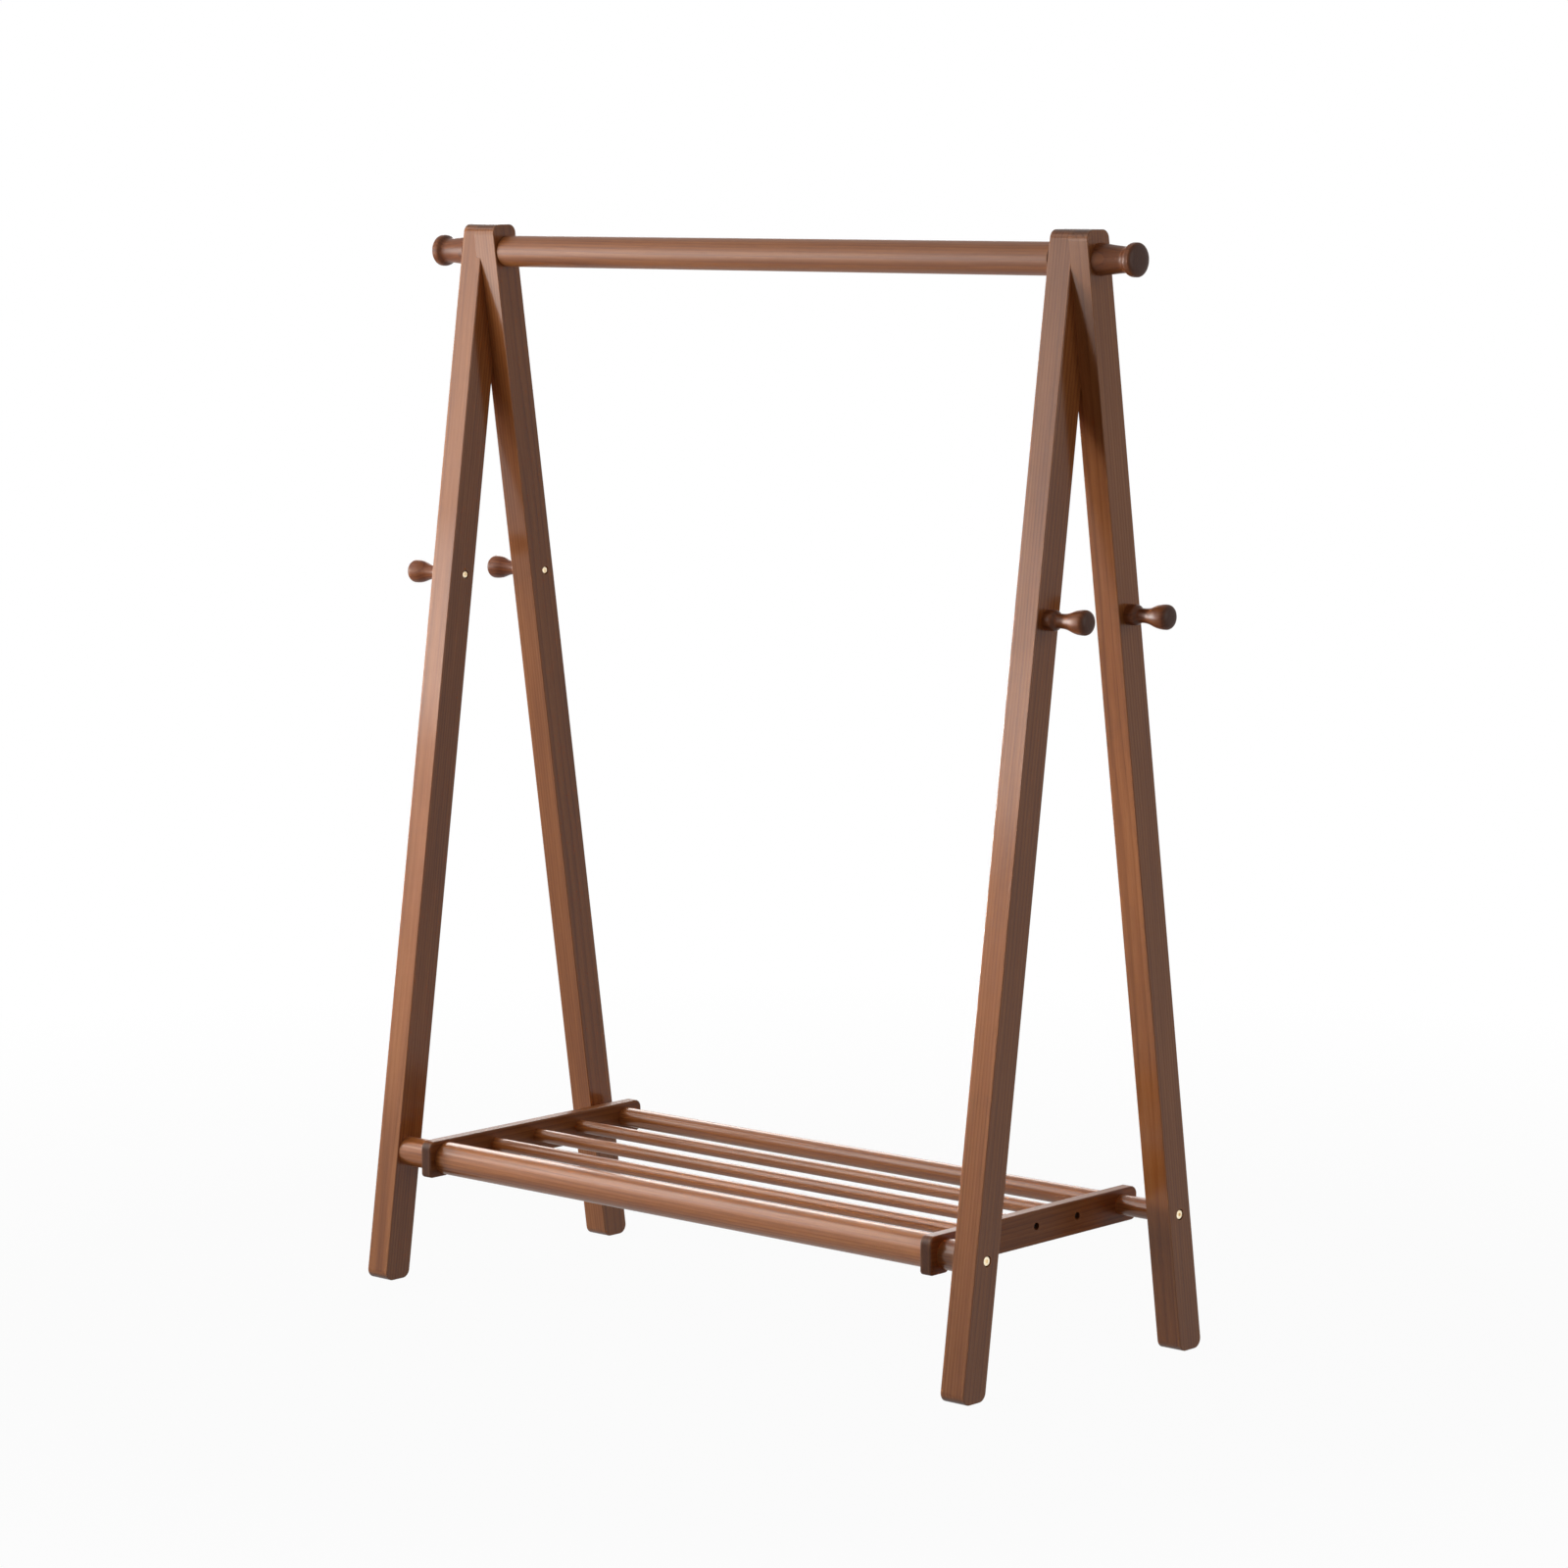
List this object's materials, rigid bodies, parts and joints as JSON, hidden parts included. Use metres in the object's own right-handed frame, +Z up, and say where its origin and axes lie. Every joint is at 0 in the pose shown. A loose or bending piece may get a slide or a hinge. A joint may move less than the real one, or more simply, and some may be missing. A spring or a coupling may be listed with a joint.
{
  "type": "garment rack",
  "caption": "Free-standing wooden garment rack: crossed A-frame ends, a round hanging rail with turned end knobs, side pegs and a slatted shelf near the floor.",
  "frame": {"origin": "centre of the footprint, on the floor", "axes": "+X along the hanging rail to the right, -Y to the front, +Z up"},
  "size_m": [1.109, 0.4, 1.3],
  "materials": {
    "leg_wood": "satin lacquer over walnut stain",
    "rail_wood": "satin lacquer over walnut stain",
    "slat_wood": "satin lacquer over walnut stain",
    "side_rail_wood": "satin lacquer over walnut stain",
    "turned_wood": "satin lacquer over walnut stain",
    "brass": "polished",
    "dark_steel": "blackened",
    "bright_steel": "zinc plated"
  },
  "bodies": {
    "root": {"front_left_leg": "leg_wood", "front_right_leg": "leg_wood", "rear_left_leg": "leg_wood", "rear_right_leg": "leg_wood", "hanging_rail": "rail_wood", "left_rail_knob": "turned_wood", "right_rail_knob": "turned_wood", "front_left_peg": "turned_wood", "front_right_peg": "turned_wood", "rear_left_peg": "turned_wood", "rear_right_peg": "turned_wood", "front_shelf_rail": "rail_wood", "rear_shelf_rail": "rail_wood", "shelf_slat_1": "slat_wood", "shelf_slat_2": "slat_wood", "shelf_slat_3": "slat_wood", "left_side_rail": "side_rail_wood", "right_side_rail": "side_rail_wood", "front_left_spacer": "turned_wood", "front_right_spacer": "turned_wood", "rear_left_spacer": "turned_wood", "rear_right_spacer": "turned_wood", "shelf_bolts": "brass", "peg_screws": "brass", "slat_screws": "dark_steel", "rail_studs": "bright_steel", "rail_stud_inserts": "bright_steel", "shelf_bolt_inserts": "bright_steel"}
  },
  "joints": []
}
